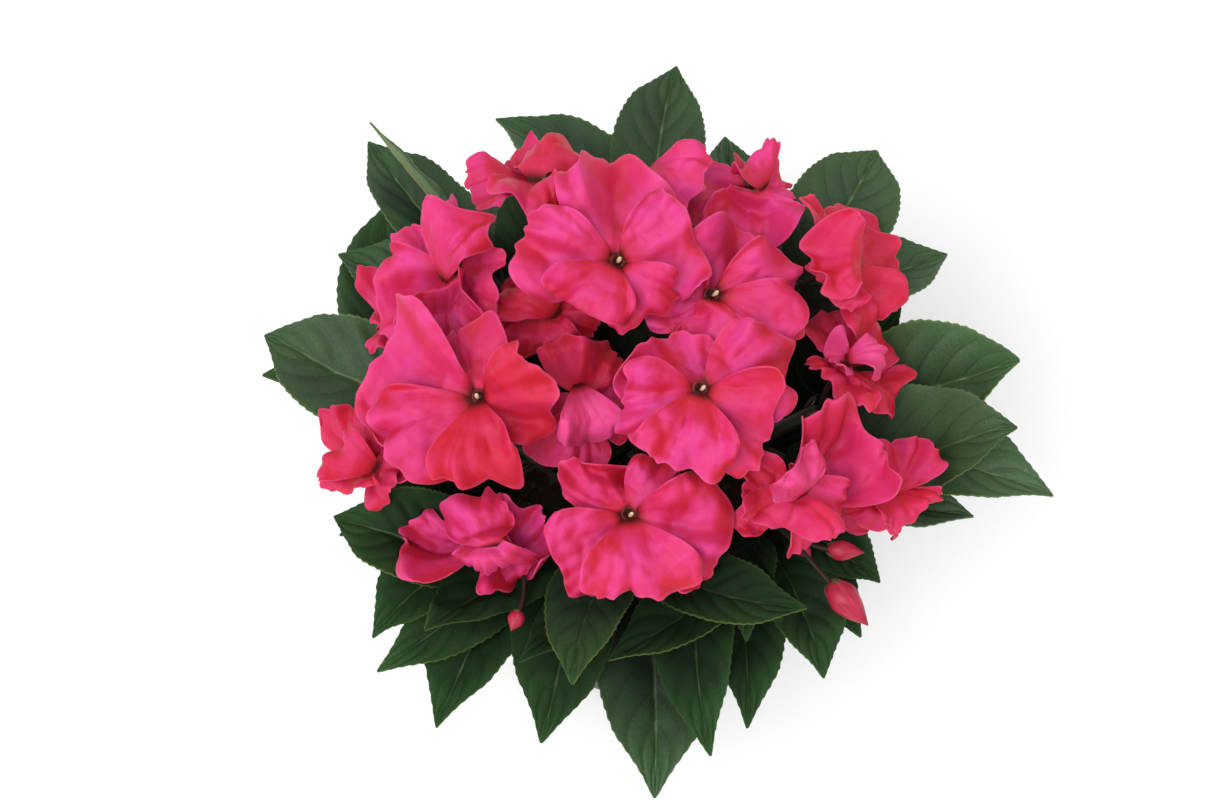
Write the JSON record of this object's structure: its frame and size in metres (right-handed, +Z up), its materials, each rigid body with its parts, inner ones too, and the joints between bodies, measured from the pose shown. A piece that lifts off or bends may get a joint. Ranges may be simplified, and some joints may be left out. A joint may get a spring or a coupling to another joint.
{
  "type": "potted busy lizzie",
  "caption": "Bushy flowering houseplant with broad ruffled pink blooms over dark pointed leaves, growing in a plain round black nursery pot.",
  "frame": {"origin": "centre of the pot's flat underside, on the surface it stands on", "axes": "+Z up along the pot's axis, -Y towards the front of the plant, +X to its right seen from the front"},
  "size_m": [0.2803, 0.2603, 0.2265],
  "materials": {
    "pot": "satin",
    "soil": "matte",
    "foliage": "satin",
    "petal": "matte",
    "pollen_cap": "matte",
    "bud": "satin"
  },
  "bodies": {
    "root": {"pot": "pot", "soil": "soil", "leafy_stem_front": "foliage", "leafy_stem_front_right": "foliage", "leafy_stem_right": "foliage", "leafy_stem_back_right": "foliage", "leafy_stem_back": "foliage", "leafy_stem_back_left": "foliage", "leafy_stem_left": "foliage", "leafy_stem_front_left": "foliage", "leafy_stem_middle": "foliage", "bloom_01": "petal", "pollen_cap_01": "pollen_cap", "bloom_02": "petal", "pollen_cap_02": "pollen_cap", "bloom_03": "petal", "pollen_cap_03": "pollen_cap", "bloom_04": "petal", "pollen_cap_04": "pollen_cap", "bloom_05": "petal", "pollen_cap_05": "pollen_cap", "bloom_06": "petal", "pollen_cap_06": "pollen_cap", "bloom_07": "petal", "pollen_cap_07": "pollen_cap", "bloom_08": "petal", "pollen_cap_08": "pollen_cap", "bloom_09": "petal", "pollen_cap_09": "pollen_cap", "bloom_10": "petal", "pollen_cap_10": "pollen_cap", "bloom_11": "petal", "pollen_cap_11": "pollen_cap", "bloom_12": "petal", "pollen_cap_12": "pollen_cap", "bloom_13": "petal", "pollen_cap_13": "pollen_cap", "bloom_14": "petal", "pollen_cap_14": "pollen_cap", "bloom_15": "petal", "pollen_cap_15": "pollen_cap", "bloom_16": "petal", "pollen_cap_16": "pollen_cap", "bloom_17": "petal", "pollen_cap_17": "pollen_cap", "bloom_18": "petal", "pollen_cap_18": "pollen_cap", "bud_1": "bud", "bud_2": "bud", "bud_3": "bud", "bud_4": "bud"}
  },
  "joints": []
}
